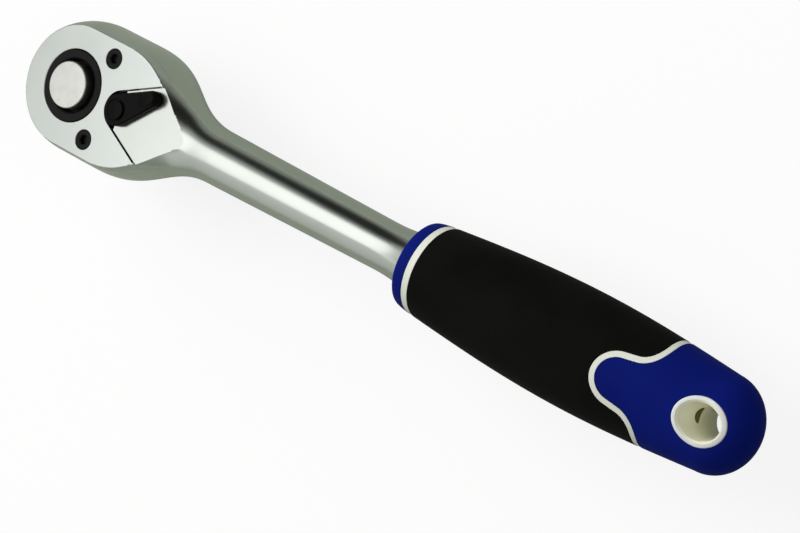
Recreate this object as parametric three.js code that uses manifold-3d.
// Socket ratchet with a half-inch square drive: a forged head and shank, a reversing pawl, a
// quick-release button and a three-colour moulded grip.
// Millimetres. +Z is the button side, +X runs along the handle to the grip's end. The origin is on
// the drive's axis, at the end face of the square drive.
import * as THREE from "three";
import { mergeVertices } from "three/addons/utils/BufferGeometryUtils.js";
import Module from "manifold-3d";

const wasm = await Module();
wasm.setup();

// Clearances.
const SEAT_GAP = 0.05; // between faces that sit on each other
const RUNNING_GAP = 0.3; // between pieces that move past each other
const BORE_GAP = 0.2; // round a shaft in its bore
const MESH_GAP = 0.12; // between the pawl's teeth and the gear's, at rest
const SEAM_GAP = 0.35; // round the cover plate's notch

// Square drive and its quick release.
const SQUARE_SIZE = 12.7;
const SQUARE_LENGTH = 16;
const SQUARE_CHAMFER = 1.2;
const JOURNAL_RADIUS = 9.6;
const JOURNAL_PROUD = 1; // of the head's underside
const BALL_RADIUS = 2.5;
const BALL_PROUD = 0.8;
const BALL_HEIGHT = 8;
const BALL_LIP = 0.35; // thickness of the edge that keeps the ball in
const BUTTON_RADIUS = 6.5;
const BUTTON_PROUD = 2.4;
const BUTTON_DEPTH = 5.9; // the button's own height
const BUTTON_EDGE = 0.5;
const BUTTON_TRAVEL = 2.4;
const PIN_RADIUS = 2.3;
const PIN_WAIST = 1.15;
const PIN_SPIGOT = 1.6; // how far the pin goes up into the button
const END_WALL = 2.2; // of the square, under the pin
const WELL_RADIUS = 7.5; // of the button's well in the hub
const WELL_DEPTH = 10.5;
const RELEASE_COIL_RADIUS = 4.6;
const RELEASE_WIRE = 0.9;
const RELEASE_TURNS = 4;

// Ratchet wheel.
const RING_RADIUS = 10.5; // of the black hub ring in the cover plate
const RING_PROUD = 0.1;
const RING_EDGE = 0.4;
const GEAR_RADIUS = 12.4;
const GEAR_TEETH = 72;
const TOOTH_DEPTH = 0.45;
const TOOTH_FLAT = 0.05; // half-width of the flats at tip and root, in pitches
const GEAR_THICKNESS = 12;
const GEAR_WALL_GAP = 0.7; // between the teeth and their pocket
const WASHER_THICKNESS = 0.4;
const WASHER_WIDTH = 0.9;

// Head and neck of the forging.
const HEAD_THICKNESS = 19.5;
const FLOOR_THICKNESS = 4;
const HEAD_HALF_WIDTH = 19;
const HEAD_BULGE_HEIGHT = 21.3; // half-height of the ellipse that the side walls are cut from
const FACE_ABOVE_AXIS = 8.2; // from the shank's axis up to the cover plate's face
const NECK_START = 16;
const NECK_END = 53.5;
const CROWN_START = 10; // the top and underside draw in a little before the sides
const CROWN_END = 50;
const SHANK_RADIUS = 7.75;
const SHANK_END_RADIUS = 7.1;
const SHANK_TAPER_END = 112;
const FLARE_LENGTH = 9;
const FLARE_RISE = 1;
const TANG_RADIUS = 6;
const TANG_FLAT = 5; // distance of the tang's flats from its axis
const TANG_LENGTH = 82;

// Cover plate and its screws.
const PLATE_THICKNESS = 2.5;
const FAN_DROP = 0.4; // of the lever's floor below the plate's face
const NOTCH_HALF_ANGLE = THREE.MathUtils.degToRad(26);
const NOTCH_RADIUS = 5.2;
const SCREW_X = 10.55;
const SCREW_Y = 12.26;
const SCREW_HEAD_RADIUS = 3;
const SCREW_HEAD_HEIGHT = 1.5;
const SCREW_SINK = 0.15;
const SCREW_RADIUS = 1.8;
const SCREW_LENGTH = 10;
const SCREW_SOCKET_SIDES = 6;
const SCREW_SOCKET_RADIUS = 1.5;
const SCREW_SOCKET_DEPTH = 1.3;

// Reversing lever, pawl and plunger.
const PIVOT_FROM_GEAR = 6.6; // from the gear's rim to the lever's pivot
const LEVER_ANGLE = THREE.MathUtils.degToRad(32); // to either side of the handle's line
const LEVER_REACH = 15.2; // from the pivot to the middle of the round tip
const LEVER_TIP_RADIUS = 1.9;
const LEVER_BOSS_RADIUS = 4.7;
const LEVER_THICKNESS = 1.8;
const LEVER_DISC_RADIUS = 3.2;
const LEVER_DISC_HEIGHT = 0.6;
const LEVER_KNOB_RADIUS = 1.7;
const LEVER_KNOB_HEIGHT = 0.9;
const DRUM_RADIUS = 3.35;
const DRUM_FOOT = 1.8; // how far the drum goes down into the head's floor
const FLANGE_RADIUS = 5.9;
const FLANGE_THICKNESS = 1.2;
const FLANGE_HALF_ANGLE = THREE.MathUtils.degToRad(55);
const PAWL_ROCK = THREE.MathUtils.degToRad(11.6);
const PAWL_THICKNESS = 10.8;
const PAWL_HUB_WALL = 1.1;
const PAWL_ARM_ANGLE = THREE.MathUtils.degToRad(100);
const PAWL_PAD_DEPTH = 2.6;
const PAWL_PAD_START = 3; // in teeth, from the handle's line
const PAWL_PAD_TEETH = 4;
const PAWL_WEB_GAP = 0.6;
const PAWL_NOTCH_HALF_ANGLE = THREE.MathUtils.degToRad(46);
const PAWL_SWEEP = THREE.MathUtils.degToRad(37); // half-angle of the pawl's pocket
const PAWL_LIFT_ROOM = 3.6; // behind the pad, so that it can lift clear of the gear
const PLUNGER_RADIUS = 1.1;
const PLUNGER_LENGTH = 3.1;
const PLUNGER_PROUD = 0.9;
const PLUNGER_WELL = 2.3; // how far the plunger's bore runs past the drum's middle
const PAWL_WIRE = 0.42;
const PAWL_SPRING_TURNS = 3;

// Grip.
const GRIP_START = 122.5;
const COLLAR_END = 128.4;
const BAND_WIDTH = 2.4; // white line behind the collar
const GRIP_END = 233.8;
const GRIP_FRONT_RADIUS = 11;
const GRIP_BAND_RADIUS = 12.9;
const BELLY_X = 177;
const BELLY_HALF_WIDTH = 15.6;
const BELLY_HALF_HEIGHT = 14;
const HIP_X = 221; // where the end starts to round off
const HIP_HALF_WIDTH = 13.1;
const HIP_HALF_HEIGHT = 10.3;
const TIP_FLAT = 0.3; // share of the last section that is left flat at the very end
const SKIN = 2.4; // thickness of the coloured layers over the core
const TONGUE_TIP_X = 190.7;
const TONGUE_HALF_WIDTH = 6;
const TONGUE_FILLET = 6;
const SHOULDER_X = 205;
const TRIM_WIDTH = 1.7; // white line round the tongue
const EYE_X = 221;
const EYE_LENGTH = 14.2;
const EYE_WIDTH = 12.4;
const EYE_RIM = 1.1;
const EYE_STEP = 1.2;
const EYE_RIM_DEPTH = 1.8;

// Places worked out from the above.
const PIVOT_X = GEAR_RADIUS + PIVOT_FROM_GEAR;
const HEAD_BOTTOM = SQUARE_LENGTH + JOURNAL_PROUD;
const FACE_Z = HEAD_BOTTOM + HEAD_THICKNESS;
const AXIS_Z = FACE_Z - FACE_ABOVE_AXIS;
const MID_Z = HEAD_BOTTOM + HEAD_THICKNESS / 2;
const FAN_Z = FACE_Z - FAN_DROP;
const SHELF_Z = FACE_Z - PLATE_THICKNESS;
const FLOOR_Z = HEAD_BOTTOM + FLOOR_THICKNESS;
const GEAR_Z = FLOOR_Z + BORE_GAP;
const GEAR_TOP = GEAR_Z + GEAR_THICKNESS;
const BAND_END = COLLAR_END + BAND_WIDTH;
const OVERCUT = 1; // how far a cut runs past the face it opens, or a join into its neighbour
const ABOVE = FACE_Z + HEAD_THICKNESS; // clear over everything, for cuts that come from above
const AROUND = 36; // segments of a full turn on the head and its round pieces
const GRIP_AROUND = 28;
const FINE = 16; // segments of a full turn on the small ones
const COIL_STEPS = 10; // segments of one turn of a spring
const WIRE_SEGMENTS = 3; // of half the wire's round section

const mix = (a, b, t) => a + (b - a) * t;
const eased = (start, end, x) => THREE.MathUtils.smootherstep(x, start, end);
const polar = (radius, angle, x = 0) =>
  new THREE.Vector2(x + radius * Math.cos(angle), radius * Math.sin(angle));

// Solids from geometry, and their joins and cuts.
function solid(geometry) {
  const bare = geometry.clone();
  bare.deleteAttribute("normal");
  bare.deleteAttribute("uv");
  const merged = mergeVertices(bare, 1e-4);
  const mesh = new wasm.Mesh({
    numProp: 3,
    vertProperties: new Float32Array(merged.attributes.position.array),
    triVerts: new Uint32Array(merged.index.array),
  });
  return new wasm.Manifold(mesh);
}

const joined = (...parts) => parts.reduce((sum, part) => sum.add(part));
const cut = (from, ...tools) => tools.reduce((rest, tool) => rest.subtract(tool), from);

// A straight column with the given outline, from one height to another.
function column(shape, bottom, top, curveSegments = FINE / 4) {
  const options = { depth: top - bottom, bevelEnabled: false, curveSegments };
  return solid(new THREE.ExtrudeGeometry(shape, options).translate(0, 0, bottom));
}

function circleShape(radius, x = 0, y = 0) {
  const shape = new THREE.Shape();
  shape.absarc(x, y, radius, 0, 2 * Math.PI);
  return shape;
}

function sector(radius, start, end) {
  const shape = new THREE.Shape();
  shape.absarc(0, 0, radius, start, end, false);
  shape.lineTo(0, 0);
  shape.closePath();
  return shape;
}

const post = (radius, bottom, top, x = 0, y = 0, segments = FINE) =>
  column(circleShape(radius, x, y), bottom, top, segments / 2);

// A turned piece about the Z axis, from [radius, height] pairs that start and end on the axis.
function turned(profile, x = 0, y = 0, segments = FINE, turn = 0) {
  const points = profile.map(([radius, height]) => new THREE.Vector2(radius, height));
  const lathe = new THREE.LatheGeometry(points, segments, turn);
  return solid(lathe.rotateX(Math.PI / 2).translate(x, y, 0));
}

// A block by its lowest and highest corners.
function block(low, high) {
  const size = high.map((value, i) => value - low[i]);
  const middle = high.map((value, i) => (value + low[i]) / 2);
  return solid(new THREE.BoxGeometry(...size).translate(...middle));
}

// A skin through elliptical sections along X, closed at both ends.
function loft(sections, around = AROUND) {
  const positions = [];
  const triangles = [];
  for (const { x, halfWidth, halfHeight, z } of sections) {
    for (let i = 0; i < around; i++) {
      const angle = (2 * Math.PI * i) / around;
      positions.push(x, halfWidth * Math.cos(angle), z + halfHeight * Math.sin(angle));
    }
  }
  const rings = sections.length;
  for (let ring = 0; ring + 1 < rings; ring++) {
    for (let i = 0; i < around; i++) {
      const a = ring * around + i;
      const b = ring * around + ((i + 1) % around);
      triangles.push(a, b, b + around, a, b + around, a + around);
    }
  }
  const first = sections[0];
  const last = sections[rings - 1];
  const firstMiddle = rings * around;
  const lastMiddle = firstMiddle + 1;
  positions.push(first.x, 0, first.z, last.x, 0, last.z);
  for (let i = 0; i < around; i++) {
    const next = (i + 1) % around;
    const end = (rings - 1) * around;
    triangles.push(firstMiddle, next, i, lastMiddle, end + i, end + next);
  }
  const geometry = new THREE.BufferGeometry();
  geometry.setAttribute("position", new THREE.Float32BufferAttribute(positions, 3));
  geometry.setIndex(triangles);
  return solid(geometry);
}

// One unbroken coil about the Z axis, with flat-cut ends.
function coil(radius, wire, turns, bottom, top) {
  class Helix extends THREE.Curve {
    getPoint(t, target = new THREE.Vector3()) {
      const angle = 2 * Math.PI * turns * t;
      const height = mix(bottom + wire / 2, top - wire / 2, t);
      return target.set(radius * Math.cos(angle), radius * Math.sin(angle), height);
    }
  }
  const section = new THREE.Shape();
  section.absarc(0, 0, wire / 2, 0, 2 * Math.PI);
  const steps = turns * COIL_STEPS;
  const options = { steps, curveSegments: WIRE_SEGMENTS, extrudePath: new Helix() };
  const between = (top - bottom - wire) / turns - wire;
  console.log(`coil of ${turns} turns: ${between.toFixed(2)} mm between its turns`);
  return new THREE.ExtrudeGeometry(section, options);
}

// The forging's outer skin: an ellipse at every station, widest in the head.
function shankRadius(x) {
  const taper = THREE.MathUtils.clamp((x - NECK_END) / (SHANK_TAPER_END - NECK_END), 0, 1);
  const flare = eased(GRIP_START - FLARE_LENGTH, GRIP_START + FLARE_LENGTH, x);
  return mix(SHANK_RADIUS, SHANK_END_RADIUS, taper) + FLARE_RISE * flare;
}

function bodySection(x) {
  const nose = x < 0 ? Math.sqrt(Math.max(0, 1 - (x / HEAD_HALF_WIDTH) ** 2)) : 1;
  const sides = eased(NECK_START, NECK_END, x);
  const crown = eased(CROWN_START, CROWN_END, x);
  return {
    x,
    halfWidth: nose * mix(HEAD_HALF_WIDTH, shankRadius(x), sides),
    halfHeight: nose * mix(HEAD_BULGE_HEIGHT, shankRadius(x), crown),
    z: mix(MID_Z, AXIS_Z, sides),
  };
}

function bodySkin() {
  const stations = [];
  const noseSteps = 7;
  const noseFlat = 0.15; // of one step, so that the first section isn't a point
  for (let i = 0; i < noseSteps; i++) {
    stations.push(-HEAD_HALF_WIDTH * Math.cos(((i + noseFlat) / noseSteps) * (Math.PI / 2)));
  }
  const neckSteps = 11;
  stations.push(0);
  for (let i = 0; i <= neckSteps; i++) {
    stations.push(mix(CROWN_START, NECK_END, i / neckSteps));
  }
  const flareSteps = 3;
  stations.push(SHANK_TAPER_END - FLARE_LENGTH);
  for (let i = 0; i <= flareSteps; i++) {
    stations.push(mix(GRIP_START - FLARE_LENGTH, GRIP_START, i / flareSteps));
  }
  return loft(stations.map(bodySection));
}

// The lever's floor in plan: a wedge that opens towards the handle from a round end at the pivot.
function fanShape(gap) {
  const radius = NOTCH_RADIUS - gap;
  const reach = NECK_END;
  const shape = new THREE.Shape();
  const start = Math.PI / 2 + NOTCH_HALF_ANGLE;
  const along = polar(reach, NOTCH_HALF_ANGLE);
  const corner = polar(radius, start, PIVOT_X).add(along);
  shape.absarc(PIVOT_X, 0, radius, start, -start, false);
  shape.lineTo(corner.x, -corner.y);
  shape.lineTo(corner.x, corner.y);
  shape.closePath();
  return shape;
}

// Gear outline: pointed teeth with a small flat, cut down to the root between them.
function gearShape() {
  const shape = new THREE.Shape();
  const pitch = (2 * Math.PI) / GEAR_TEETH;
  const root = GEAR_RADIUS - TOOTH_DEPTH;
  for (let i = 0; i < GEAR_TEETH; i++) {
    const points = [
      polar(root, (i - TOOTH_FLAT) * pitch),
      polar(root, (i + TOOTH_FLAT) * pitch),
      polar(GEAR_RADIUS, (i + 0.5 - TOOTH_FLAT) * pitch),
      polar(GEAR_RADIUS, (i + 0.5 + TOOTH_FLAT) * pitch),
    ];
    points.forEach((p, k) => (i + k === 0 ? shape.moveTo(p.x, p.y) : shape.lineTo(p.x, p.y)));
  }
  shape.closePath();
  return shape;
}

// Pawl in plan, with both pads lifted off the gear by the same half of its rock.
function pawlShape() {
  const pitch = (2 * Math.PI) / GEAR_TEETH;
  const root = GEAR_RADIUS - TOOTH_DEPTH;
  const pivot = new THREE.Vector2(PIVOT_X, 0);
  const lifted = (point) => point.rotateAround(pivot, -PAWL_ROCK / 2);
  const pad = [];
  for (let i = PAWL_PAD_START; i <= PAWL_PAD_START + PAWL_PAD_TEETH; i++) {
    pad.push(lifted(polar(GEAR_RADIUS + MESH_GAP, (i - 0.5 + TOOTH_FLAT) * pitch)));
    if (i === PAWL_PAD_START + PAWL_PAD_TEETH) break;
    pad.push(lifted(polar(root + MESH_GAP, (i - TOOTH_FLAT) * pitch)));
    pad.push(lifted(polar(root + MESH_GAP, (i + TOOTH_FLAT) * pitch)));
    pad.push(lifted(polar(GEAR_RADIUS + MESH_GAP, (i + 0.5 - TOOTH_FLAT) * pitch)));
  }
  const padEnd = (PAWL_PAD_START + PAWL_PAD_TEETH) * pitch;
  pad.push(lifted(polar(GEAR_RADIUS + PAWL_PAD_DEPTH, padEnd)));
  const boreRadius = DRUM_RADIUS + BORE_GAP;
  const hubRadius = boreRadius + PAWL_HUB_WALL;
  const notchRadius = DRUM_RADIUS + PLUNGER_PROUD + BORE_GAP;
  const half = [
    ...pad,
    polar(hubRadius, Math.PI - PAWL_SWEEP * 2, PIVOT_X),
    polar(hubRadius, PAWL_ARM_ANGLE, PIVOT_X),
  ];
  const mirrored = half.map((p) => new THREE.Vector2(p.x, -p.y)).reverse();
  const webRadius = GEAR_RADIUS + PAWL_WEB_GAP;
  const webAngle = (PAWL_PAD_START - 0.5) * pitch;
  const shape = new THREE.Shape();
  const webSteps = 6;
  for (let i = 0; i <= webSteps; i++) {
    const p = polar(webRadius, mix(-webAngle, webAngle, i / webSteps));
    if (i === 0) shape.moveTo(p.x, p.y);
    else shape.lineTo(p.x, p.y);
  }
  half.forEach((p) => shape.lineTo(p.x, p.y));
  const notchEdge = Math.PI - PAWL_NOTCH_HALF_ANGLE;
  shape.absarc(PIVOT_X, 0, boreRadius, PAWL_ARM_ANGLE, notchEdge, false);
  shape.absarc(PIVOT_X, 0, notchRadius, notchEdge, 2 * Math.PI - notchEdge, false);
  shape.absarc(PIVOT_X, 0, boreRadius, 2 * Math.PI - notchEdge, 2 * Math.PI - PAWL_ARM_ANGLE, false);
  mirrored.forEach((p) => shape.lineTo(p.x, p.y));
  return shape;
}

// Room for the pawl and the lever's flange in the head.
function pawlPocketShape() {
  const outer = GEAR_RADIUS + PAWL_PAD_DEPTH + PAWL_LIFT_ROOM;
  return sector(outer, -PAWL_SWEEP, PAWL_SWEEP);
}

function flangePocketShape() {
  const shape = new THREE.Shape();
  shape.absarc(PIVOT_X, 0, FLANGE_RADIUS + RUNNING_GAP, Math.PI / 2, -Math.PI / 2, false);
  shape.closePath();
  return shape;
}

function leverShape() {
  const swell = Math.asin((LEVER_BOSS_RADIUS - LEVER_TIP_RADIUS) / LEVER_REACH);
  const start = Math.PI / 2 - swell;
  const shape = new THREE.Shape();
  shape.absarc(0, 0, LEVER_BOSS_RADIUS, start, 2 * Math.PI - start, false);
  shape.absarc(LEVER_REACH, 0, LEVER_TIP_RADIUS, -start, start, false);
  shape.closePath();
  return shape;
}

const flangeShape = () =>
  sector(FLANGE_RADIUS, Math.PI - FLANGE_HALF_ANGLE, Math.PI + FLANGE_HALF_ANGLE);

// The trim line round the end cap's tongue, in plan, moved towards the head by the given amount.
function tongueShape(towardsHead) {
  const width = TONGUE_HALF_WIDTH + towardsHead;
  const fillet = TONGUE_FILLET - towardsHead;
  const middle = TONGUE_TIP_X + TONGUE_HALF_WIDTH;
  const shoulder = SHOULDER_X - towardsHead;
  const far = BELLY_HALF_WIDTH * 2;
  const beyond = GRIP_END + BELLY_HALF_WIDTH;
  const shape = new THREE.Shape();
  shape.moveTo(beyond, -far);
  shape.lineTo(beyond, far);
  shape.lineTo(shoulder, far);
  shape.absarc(shoulder - fillet, width + fillet, fillet, 0, -Math.PI / 2, true);
  shape.absarc(middle, 0, width, Math.PI / 2, 1.5 * Math.PI, false);
  shape.absarc(shoulder - fillet, -width - fillet, fillet, Math.PI / 2, 0, true);
  shape.lineTo(shoulder, -far);
  shape.closePath();
  return shape;
}

// The hanging hole's round-ended outline, drawn in by the given amount.
function eyeShape(inset) {
  const radius = EYE_WIDTH / 2 - inset;
  const half = (EYE_LENGTH - EYE_WIDTH) / 2;
  const shape = new THREE.Shape();
  shape.absarc(EYE_X + half, 0, radius, -Math.PI / 2, Math.PI / 2, false);
  shape.absarc(EYE_X - half, 0, radius, Math.PI / 2, 1.5 * Math.PI, false);
  shape.closePath();
  return shape;
}

// Outer size of the grip at a station: it swells to the belly and draws in to the hip.
function gripSize(x, front, band, belly, hip) {
  const share = (start, end) => THREE.MathUtils.clamp((x - start) / (end - start), 0, 1);
  const rounded = mix(front, band, Math.sqrt(share(GRIP_START, COLLAR_END)));
  const swollen = mix(0, belly - band, Math.sin((share(COLLAR_END, BELLY_X) * Math.PI) / 2));
  const drawnIn = mix(0, belly - hip, 1 - Math.cos((share(BELLY_X, HIP_X) * Math.PI) / 2));
  return rounded + swollen - drawnIn;
}

function gripSection(x, inset) {
  const width = gripSize(x, GRIP_FRONT_RADIUS, GRIP_BAND_RADIUS, BELLY_HALF_WIDTH, HIP_HALF_WIDTH);
  const height = gripSize(x, GRIP_FRONT_RADIUS, GRIP_BAND_RADIUS, BELLY_HALF_HEIGHT, HIP_HALF_HEIGHT);
  return { x, halfWidth: width - inset, halfHeight: height - inset, z: AXIS_Z };
}

// The grip's skin, or a plainer one drawn in by an inset on all sides but the front.
function gripSkin(inset) {
  const [frontSteps, bellySteps, hipSteps, endSteps] = inset > 0 ? [1, 3, 3, 4] : [3, 4, 4, 6];
  const sections = [];
  for (let i = 0; i < frontSteps; i++) {
    sections.push(gripSection(mix(GRIP_START, COLLAR_END, (i / frontSteps) ** 2), inset));
  }
  for (let i = 0; i < bellySteps; i++) {
    sections.push(gripSection(mix(COLLAR_END, BELLY_X, i / bellySteps), inset));
  }
  for (let i = 0; i < hipSteps; i++) {
    sections.push(gripSection(mix(BELLY_X, HIP_X, i / hipSteps), inset));
  }
  const endLength = GRIP_END - HIP_X - inset;
  for (let i = 0; i < endSteps; i++) {
    const turn = (i / endSteps) * (Math.PI / 2);
    const hip = gripSection(HIP_X, inset);
    hip.x += endLength * Math.sin(turn);
    hip.halfWidth *= Math.cos(turn);
    hip.halfHeight *= Math.cos(turn);
    sections.push(hip);
  }
  const tip = { ...sections.at(-1) };
  tip.x = HIP_X + endLength;
  tip.halfWidth *= TIP_FLAT;
  tip.halfHeight *= TIP_FLAT;
  sections.push(tip);
  return loft(sections, GRIP_AROUND);
}

// A slice of the whole grip between two stations.
const gripSlice = (start, end) => {
  const reach = BELLY_HALF_WIDTH * 2;
  return block([start, -reach, AXIS_Z - reach], [end, reach, AXIS_Z + reach]);
};

// Materials.
const finish = (color, roughness, metalness) =>
  new THREE.MeshStandardMaterial({ color, roughness, metalness });
const satinChrome = () => finish(0xc9cec9, 0.32, 1);
const blackOxide = () => finish(0x161616, 0.45, 0.6);
const brightSteel = () => finish(0xd8d8d4, 0.25, 1);
const springSteel = () => finish(0x8a8c8e, 0.35, 1);
const blueRubber = () => finish(0x0d1973, 0.5, 0);
const blackRubber = () => finish(0x0f0f0e, 0.65, 0);
const whitePlastic = () => finish(0xe6ebde, 0.45, 0);

const ratchet = new THREE.Group();

function addPiece(name, shape, material) {
  const { vertProperties, triVerts } = shape.getMesh();
  const geometry = new THREE.BufferGeometry();
  geometry.setAttribute("position", new THREE.BufferAttribute(vertProperties, 3));
  geometry.setIndex(new THREE.BufferAttribute(triVerts, 1));
  const mesh = new THREE.Mesh(geometry, material);
  mesh.name = name;
  ratchet.add(mesh);
  return mesh;
}

// Forged body.
const outerSkin = bodySkin();
const wide = HEAD_HALF_WIDTH * 2;
const tangStart = GRIP_START - FLARE_LENGTH;
const tangEnd = GRIP_START + TANG_LENGTH;
const tangBar = (radius, end) => {
  const bar = new THREE.CylinderGeometry(radius, radius, end - tangStart, FINE).rotateZ(Math.PI / 2);
  return solid(bar.translate((tangStart + end) / 2, 0, AXIS_Z));
};
const tangSlab = block(
  [tangStart, -TANG_FLAT, AXIS_Z - TANG_RADIUS * 2],
  [tangEnd, TANG_FLAT, AXIS_Z + TANG_RADIUS * 2],
);
const headSlab = block([-wide, -wide, HEAD_BOTTOM], [GRIP_END, wide, FAN_Z]);
const plateRoom = cut(
  block([-wide, -wide, SHELF_Z], [NECK_END, wide, ABOVE]),
  column(fanShape(0), SHELF_Z - PLATE_THICKNESS, ABOVE + OVERCUT),
);
const drumBore = post(DRUM_RADIUS + BORE_GAP, FLOOR_Z - DRUM_FOOT - BORE_GAP, ABOVE, PIVOT_X);
const forging = joined(outerSkin.intersect(headSlab), tangBar(TANG_RADIUS, tangEnd).intersect(tangSlab));
const screwSides = { upper: SCREW_Y, lower: -SCREW_Y };
const screwTip = FACE_Z - SCREW_SINK - SCREW_LENGTH;
const screwHoles = Object.values(screwSides).map((y) =>
  post(SCREW_RADIUS + SEAT_GAP, screwTip - BORE_GAP, ABOVE, SCREW_X, y),
);
const body = cut(
  forging,
  plateRoom,
  post(GEAR_RADIUS + GEAR_WALL_GAP, FLOOR_Z, ABOVE, 0, 0, AROUND),
  post(JOURNAL_RADIUS + BORE_GAP, 0, ABOVE, 0, 0, AROUND),
  column(pawlPocketShape(), FLOOR_Z, ABOVE),
  column(flangePocketShape(), FLOOR_Z, ABOVE),
  drumBore,
  ...screwHoles,
);
addPiece("body", body, satinChrome());

// Cover plate: the top slice of the head's skin, open at the lever's wedge.
const screwHeadProfile = (gap) => [
  [0, FACE_Z - SCREW_SINK - SCREW_HEAD_HEIGHT - gap],
  [SCREW_RADIUS + gap, FACE_Z - SCREW_SINK - SCREW_HEAD_HEIGHT - gap],
  [SCREW_HEAD_RADIUS + gap, FACE_Z - SCREW_SINK],
];
const sunkHoles = Object.values(screwSides).map((y) => {
  const rim = SCREW_HEAD_RADIUS + BORE_GAP;
  return turned([...screwHeadProfile(BORE_GAP), [rim, ABOVE], [0, ABOVE]], SCREW_X, y);
});
const plateSlab = block([-wide, -wide, SHELF_Z + SEAT_GAP], [NECK_END, wide, FACE_Z]);
const coverPlate = cut(
  outerSkin.intersect(plateSlab),
  column(fanShape(-SEAM_GAP), SHELF_Z - OVERCUT, ABOVE),
  post(RING_RADIUS + BORE_GAP, SHELF_Z - OVERCUT, ABOVE, 0, 0, AROUND),
  ...screwHoles,
  ...sunkHoles,
);
addPiece("cover_plate", coverPlate, satinChrome());

// Cover screws, with a socket for the key.
for (const [side, y] of Object.entries(screwSides)) {
  const top = FACE_Z - SCREW_SINK;
  const shank = [
    [0, screwTip],
    [SCREW_RADIUS, screwTip],
  ];
  const screw = turned([...shank, ...screwHeadProfile(0).slice(1), [0, top]], SCREW_X, y);
  const hexagon = new THREE.Shape(
    Array.from({ length: SCREW_SOCKET_SIDES }, (_, i) => {
      const corner = polar(SCREW_SOCKET_RADIUS, (i * 2 * Math.PI) / SCREW_SOCKET_SIDES, SCREW_X);
      return new THREE.Vector2(corner.x, corner.y + y);
    }),
  );
  const socket = column(hexagon, top - SCREW_SOCKET_DEPTH, ABOVE);
  addPiece(`cover_screw_${side}`, cut(screw, socket), blackOxide());
}

// Drive gear: square, journal, toothed wheel and hub ring in one, bored for the quick release.
const squareSides = 4;
const squareHalf = SQUARE_SIZE / 2;
const tipHalf = squareHalf - SQUARE_CHAMFER;
const squareRoot = SQUARE_LENGTH + OVERCUT;
const squareBlock = block([-squareHalf, -squareHalf, 0], [squareHalf, squareHalf, squareRoot]);
const chamferCone = turned(
  [
    [0, 0],
    [tipHalf * Math.SQRT2, 0],
    [(tipHalf + squareRoot) * Math.SQRT2, squareRoot],
    [0, squareRoot],
  ],
  0,
  0,
  squareSides,
  Math.PI / squareSides,
);
const square = squareBlock.intersect(chamferCone);
const ringTop = FACE_Z + RING_PROUD;
const hubProfile = [
  [0, SQUARE_LENGTH],
  [JOURNAL_RADIUS, SQUARE_LENGTH],
  [JOURNAL_RADIUS, GEAR_Z + OVERCUT],
  [RING_RADIUS, GEAR_Z + OVERCUT],
  [RING_RADIUS, ringTop - RING_EDGE],
  [RING_RADIUS - RING_EDGE, ringTop],
  [0, ringTop],
];
const pinBore = PIN_RADIUS + BORE_GAP;
const ballPlace = squareHalf + BALL_PROUD - BALL_RADIUS;
const ballBore = (radius, start, end) => {
  const bore = new THREE.CylinderGeometry(radius, radius, end - start, FINE);
  return solid(bore.translate(0, (start + end) / 2, BALL_HEIGHT));
};
const lipStart = squareHalf - BALL_LIP;
const lipRadius = Math.sqrt(BALL_RADIUS ** 2 - (lipStart - ballPlace) ** 2) + BORE_GAP / 2;
const wellFloor = FACE_Z - WELL_DEPTH;
const driveGear = cut(
  joined(square, turned(hubProfile, 0, 0, AROUND), column(gearShape(), GEAR_Z, GEAR_TOP)),
  post(WELL_RADIUS, wellFloor, ABOVE, 0, 0, AROUND),
  post(pinBore, END_WALL, ABOVE),
  ballBore(BALL_RADIUS + BORE_GAP, 0, lipStart),
  ballBore(lipRadius, 0, squareHalf + OVERCUT),
);
addPiece("drive_gear", driveGear, blackOxide());

// Drag washer between the gear and the cover plate.
const washerHole = post(RING_RADIUS + BORE_GAP, 0, ABOVE, 0, 0, AROUND);
const washerDisc = post(
  RING_RADIUS + BORE_GAP + WASHER_WIDTH,
  GEAR_TOP + SEAT_GAP,
  GEAR_TOP + SEAT_GAP + WASHER_THICKNESS,
  0,
  0,
  AROUND,
);
addPiece("drag_washer", cut(washerDisc, washerHole), springSteel());

// Release button, and the pin whose ramp lets the ball in as the button goes down.
const buttonTop = FACE_Z + BUTTON_PROUD;
const buttonBottom = buttonTop - BUTTON_DEPTH;
const pinTop = buttonBottom + PIN_SPIGOT;
const button = cut(
  turned(
    [
      [0, buttonBottom],
      [BUTTON_RADIUS, buttonBottom],
      [BUTTON_RADIUS, buttonTop - BUTTON_EDGE],
      [BUTTON_RADIUS - BUTTON_EDGE, buttonTop],
      [0, buttonTop],
    ],
    0,
    0,
    AROUND,
  ),
  post(PIN_RADIUS + SEAT_GAP, buttonBottom - OVERCUT, pinTop + SEAT_GAP),
);
addPiece("release_button", button, brightSteel());

const rampSlope = BALL_PROUD / BUTTON_TRAVEL;
const rampTurn = Math.atan(rampSlope);
const rampAtBall = ballPlace - (BALL_RADIUS + SEAT_GAP) / Math.cos(rampTurn);
const rampHeight = (radius) => BALL_HEIGHT + (rampAtBall - radius) / rampSlope;
const pinEnd = END_WALL + BORE_GAP + BUTTON_TRAVEL;
const waistEnd = rampHeight(PIN_WAIST) + BALL_RADIUS;
const pin = turned([
  [0, pinEnd],
  [PIN_RADIUS, pinEnd],
  [PIN_RADIUS, rampHeight(PIN_RADIUS)],
  [PIN_WAIST, rampHeight(PIN_WAIST)],
  [PIN_WAIST, waistEnd],
  [PIN_RADIUS, waistEnd + PIN_RADIUS - PIN_WAIST],
  [PIN_RADIUS, pinTop],
  [0, pinTop],
]);
addPiece("release_pin", pin, springSteel());

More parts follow.
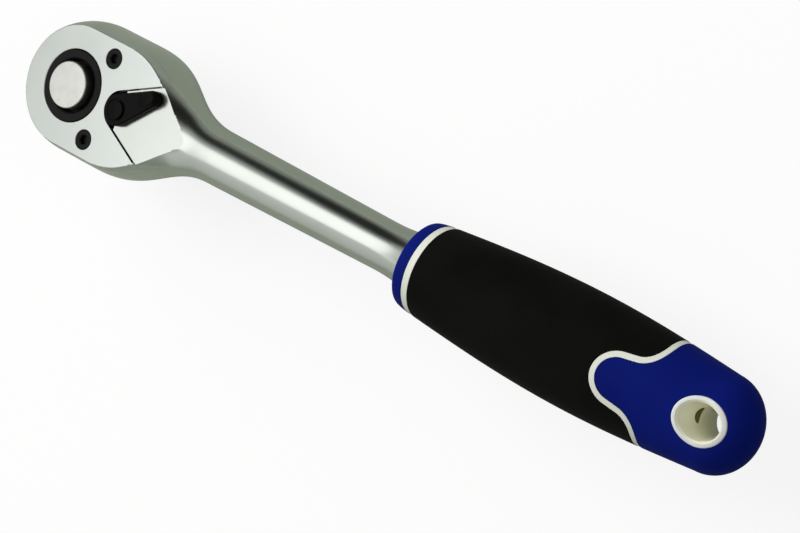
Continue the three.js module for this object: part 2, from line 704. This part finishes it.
const releaseSpring = coil(
  RELEASE_COIL_RADIUS,
  RELEASE_WIRE,
  RELEASE_TURNS,
  wellFloor + SEAT_GAP,
  buttonBottom - SEAT_GAP,
);
addPiece("release_spring", solid(releaseSpring), springSteel());

const ballRings = 9;
const ballShape = new THREE.SphereGeometry(BALL_RADIUS, FINE, ballRings);
const ball = solid(ballShape.translate(0, ballPlace, BALL_HEIGHT));
addPiece("detent_ball", ball, brightSteel());

// Reversing lever, drawn along +X about its own axis and then turned to its rest.
const leverBottom = FAN_Z + RUNNING_GAP;
const leverTop = leverBottom + LEVER_THICKNESS;
const plateUnderside = SHELF_Z + SEAT_GAP;
const flangeTop = plateUnderside - BORE_GAP;
const drumBottom = FLOOR_Z - DRUM_FOOT;
const plungerTip = DRUM_RADIUS + PLUNGER_PROUD;
const plungerHeight = FLOOR_Z + (SHELF_Z - FLOOR_Z) / 2;
// A round bar along -X from the drum's middle, between two distances from the lever's axis.
const radialBar = (radius, start, end) =>
  new THREE.CylinderGeometry(radius, radius, end - start, FINE)
    .rotateZ(Math.PI / 2)
    .translate(-(start + end) / 2, 0, plungerHeight);
const lever = cut(
  joined(
    column(leverShape(), leverBottom, leverTop),
    post(LEVER_DISC_RADIUS, leverTop - OVERCUT, leverTop + LEVER_DISC_HEIGHT),
    post(LEVER_KNOB_RADIUS, leverTop - OVERCUT, leverTop + LEVER_KNOB_HEIGHT, LEVER_REACH),
    column(flangeShape(), flangeTop - FLANGE_THICKNESS, flangeTop),
    post(DRUM_RADIUS, drumBottom, leverBottom + OVERCUT),
  ),
  solid(radialBar(PLUNGER_RADIUS + BORE_GAP, -PLUNGER_WELL, DRUM_RADIUS + OVERCUT)),
);
const leverPivot = new THREE.Group();
leverPivot.position.x = PIVOT_X;
leverPivot.rotation.z = LEVER_ANGLE;
ratchet.add(leverPivot);
leverPivot.add(addPiece("reverse_lever", lever, blackOxide()));

const plungerBack = plungerTip - PLUNGER_LENGTH;
const plunger = solid(radialBar(PLUNGER_RADIUS, plungerBack, plungerTip));
leverPivot.add(addPiece("pawl_plunger", plunger, springSteel()));

const pawlSpringRadius = PLUNGER_RADIUS - PAWL_WIRE / 2 - BORE_GAP / 2;
const pawlSpring = coil(
  pawlSpringRadius,
  PAWL_WIRE,
  PAWL_SPRING_TURNS,
  -PLUNGER_WELL + BORE_GAP,
  plungerBack - BORE_GAP,
)
  .rotateY(-Math.PI / 2)
  .translate(0, 0, plungerHeight);
leverPivot.add(addPiece("pawl_spring", solid(pawlSpring), springSteel()));

// Pawl, rocked into the gear on the far side.
const pawlBottom = FLOOR_Z + BORE_GAP;
const pawl = column(pawlShape(), pawlBottom, pawlBottom + PAWL_THICKNESS);
const pawlPivot = new THREE.Group();
pawlPivot.position.x = PIVOT_X;
pawlPivot.rotation.z = PAWL_ROCK / 2;
ratchet.add(pawlPivot);
const pawlMesh = addPiece("pawl", pawl, springSteel());
pawlMesh.geometry.translate(-PIVOT_X, 0, 0);
pawlPivot.add(pawlMesh);

// Grip: the core fills the inside and stands up to the surface in the white lines and the eye.
const wholeGrip = gripSkin(0);
const trimHead = TRIM_WIDTH / 2;
const bottom = AXIS_Z - BELLY_HALF_WIDTH * 2;
const top = AXIS_Z + BELLY_HALF_WIDTH * 2;
const beyondTrim = (towardsHead) => column(tongueShape(towardsHead), bottom, top);
const trimBand = cut(beyondTrim(trimHead), beyondTrim(-trimHead));
const ribs = joined(gripSlice(COLLAR_END, BAND_END), trimBand, column(eyeShape(0), bottom, top));
const tangRoom = tangBar(TANG_RADIUS + BORE_GAP, tangEnd + BORE_GAP);
const coreStart = gripSlice(GRIP_START + SEAT_GAP, GRIP_END + OVERCUT);
const eyeBore = EYE_RIM + EYE_STEP;
const eyeTop = AXIS_Z + HIP_HALF_HEIGHT - EYE_RIM_DEPTH;
const eyeBottom = AXIS_Z - HIP_HALF_HEIGHT + EYE_RIM_DEPTH;
const core = cut(
  joined(gripSkin(SKIN), wholeGrip.intersect(ribs)).intersect(coreStart),
  tangRoom,
  column(eyeShape(eyeBore), bottom, top),
  column(eyeShape(EYE_RIM), eyeTop, top),
  column(eyeShape(EYE_RIM), bottom, eyeBottom),
);
addPiece("grip_core", core, whitePlastic());

const shell = cut(wholeGrip, gripSkin(SKIN - SEAT_GAP));
const collar = shell.intersect(gripSlice(GRIP_START, COLLAR_END - SEAT_GAP));
addPiece("front_collar", collar, blueRubber());

const sleeve = cut(
  shell.intersect(gripSlice(BAND_END + SEAT_GAP, GRIP_END + OVERCUT)),
  beyondTrim(trimHead + SEAT_GAP),
);
addPiece("grip_sleeve", sleeve, blackRubber());

const cap = cut(
  shell.intersect(beyondTrim(-trimHead - SEAT_GAP)),
  column(eyeShape(-SEAT_GAP), bottom, top),
);
addPiece("end_cap", cap, blueRubber());

export default ratchet;
